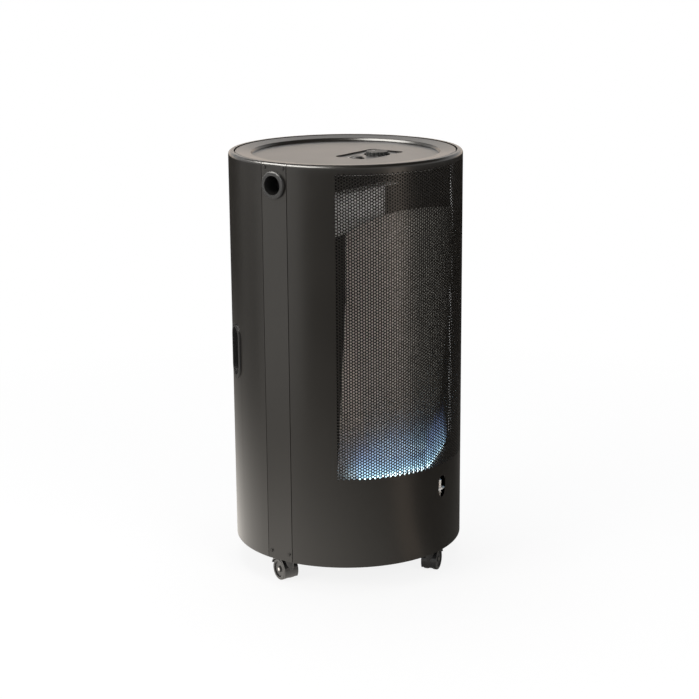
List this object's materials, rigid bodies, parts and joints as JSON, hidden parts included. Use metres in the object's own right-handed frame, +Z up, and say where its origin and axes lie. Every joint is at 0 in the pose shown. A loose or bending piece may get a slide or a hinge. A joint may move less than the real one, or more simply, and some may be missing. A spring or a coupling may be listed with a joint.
{
  "type": "portable propane heater",
  "caption": "Round gas cabinet heater on castors: punched front, blue-flame burner and radiant panel, pull-off rear cover, knob and ignition button in the lid.",
  "frame": {"origin": "on the floor under the cabinet's axis, at the bottom centre of the bounding box", "axes": "+Z up along the cabinet's axis, -Y towards the punched front, +X towards the viewer's right when facing the front"},
  "size_m": [0.4502, 0.44, 0.802],
  "materials": {
    "casing_paint": "satin charcoal powder coat",
    "black_plastic": "satin moulded",
    "castor_plastic": "satin moulded",
    "wheel": "satin moulded tread",
    "axle_steel": "ground",
    "galvanised": "dull zinc",
    "radiant_steel": "heat-tinted stainless steel",
    "burner_steel": "heat-tinted steel",
    "brass": "machined",
    "copper": "drawn copper tube",
    "ceramic": "glazed ceramic",
    "spring_steel": "drawn wire",
    "black_screws": "black oxide",
    "lead_sleeve": "silicone sleeve"
  },
  "bodies": {
    "root": {"front_shell": "casing_paint", "left_pillar": "casing_paint", "right_pillar": "casing_paint", "top_cover": "casing_paint", "base_plate": "casing_paint", "top_frame": "casing_paint", "control_panel": "casing_paint", "left_grip_cup": "black_plastic", "right_grip_cup": "black_plastic", "piezo_igniter": "black_plastic", "igniter_nut": "black_plastic", "pipe_clips": "black_plastic", "castor_sockets": "castor_plastic", "bulkhead": "galvanised", "upper_baffle": "galvanised", "heat_deflector": "galvanised", "valve_bracket": "galvanised", "burner_brackets": "galvanised", "panel_brackets": "galvanised", "pilot_bracket": "galvanised", "radiant_panel": "radiant_steel", "burner": "burner_steel", "mixer_tube": "burner_steel", "pilot_burner": "burner_steel", "spark_electrode": "burner_steel", "gas_valve": "brass", "hose_tail": "brass", "gas_injector": "brass", "gas_pipe": "copper", "pilot_pipe": "copper", "thermocouple": "copper", "thermocouple_lead": "copper", "spark_insulator": "ceramic", "knob_spring": "spring_steel", "button_spring": "spring_steel", "pillar_screws": "black_screws", "panel_screws": "black_screws", "valve_screws": "black_screws", "ignition_lead": "lead_sleeve"},
    "rear_cover": {"rear_cover": "casing_paint", "left_grip_bezel": "black_plastic", "right_grip_bezel": "black_plastic"},
    "valve_plug": {"valve_plug": "brass"},
    "knob": {"control_knob": "black_plastic", "valve_spindle": "axle_steel"},
    "button": {"ignition_button": "black_plastic"},
    "front_castor": {"front_castor_hood": "castor_plastic"},
    "front_castor_wheels": {"front_castor_wheels": "wheel", "front_castor_axle": "axle_steel"},
    "right_castor": {"right_castor_hood": "castor_plastic"},
    "right_castor_wheels": {"right_castor_wheels": "wheel", "right_castor_axle": "axle_steel"},
    "rear_castor": {"rear_castor_hood": "castor_plastic"},
    "rear_castor_wheels": {"rear_castor_wheels": "wheel", "rear_castor_axle": "axle_steel"},
    "left_castor": {"left_castor_hood": "castor_plastic"},
    "left_castor_wheels": {"left_castor_wheels": "wheel", "left_castor_axle": "axle_steel"}
  },
  "joints": [
    {"name": "rear_cover_pull", "type": "slide", "parent": "root", "child": "rear_cover", "axis": [0, 1, 0], "range_m": [0, 0.4]},
    {"name": "knob_turn", "type": "hinge", "parent": "root", "child": "valve_plug", "pos_m": [0.036, -0.047, 0.75], "axis": [0, 0, 1], "range_deg": [0, 210]},
    {"name": "knob_push", "type": "slide", "parent": "valve_plug", "child": "knob", "axis": [0, 0, -1], "range_m": [0, 0.005], "stiffness_N_per_m": 1500, "springref_m": -0.004, "deforming": ["knob_spring"]},
    {"name": "button_press", "type": "slide", "parent": "root", "child": "button", "axis": [0, 0, -1], "range_m": [0, 0.005], "stiffness_N_per_m": 1000, "springref_m": -0.003, "deforming": ["button_spring"]},
    {"name": "front_castor_swivel", "type": "hinge", "parent": "root", "child": "front_castor", "pos_m": [0, -0.193, 0.06], "axis": [0, 0, 1], "continuous": true},
    {"name": "front_castor_roll", "type": "hinge", "parent": "front_castor", "child": "front_castor_wheels", "pos_m": [0.01442, -0.18887, 0.021], "axis": [0.2756, -0.9613, 0], "continuous": true},
    {"name": "right_castor_swivel", "type": "hinge", "parent": "root", "child": "right_castor", "pos_m": [0.193, 0, 0.06], "axis": [0, 0, 1], "continuous": true},
    {"name": "right_castor_roll", "type": "hinge", "parent": "right_castor", "child": "right_castor_wheels", "pos_m": [0.20095, 0.01272, 0.021], "axis": [0.848, -0.5299, 0], "continuous": true},
    {"name": "rear_castor_swivel", "type": "hinge", "parent": "root", "child": "rear_castor", "pos_m": [0, 0.193, 0.06], "axis": [0, 0, 1], "continuous": true},
    {"name": "rear_castor_roll", "type": "hinge", "parent": "rear_castor", "child": "rear_castor_wheels", "pos_m": [-0.00839, 0.18056, 0.021], "axis": [-0.829, 0.5592, 0], "continuous": true},
    {"name": "left_castor_swivel", "type": "hinge", "parent": "root", "child": "left_castor", "pos_m": [-0.193, 0, 0.06], "axis": [0, 0, 1], "continuous": true},
    {"name": "left_castor_roll", "type": "hinge", "parent": "left_castor", "child": "left_castor_wheels", "pos_m": [-0.18787, 0.01409, 0.021], "axis": [0.9397, -0.342, 0], "continuous": true}
  ]
}
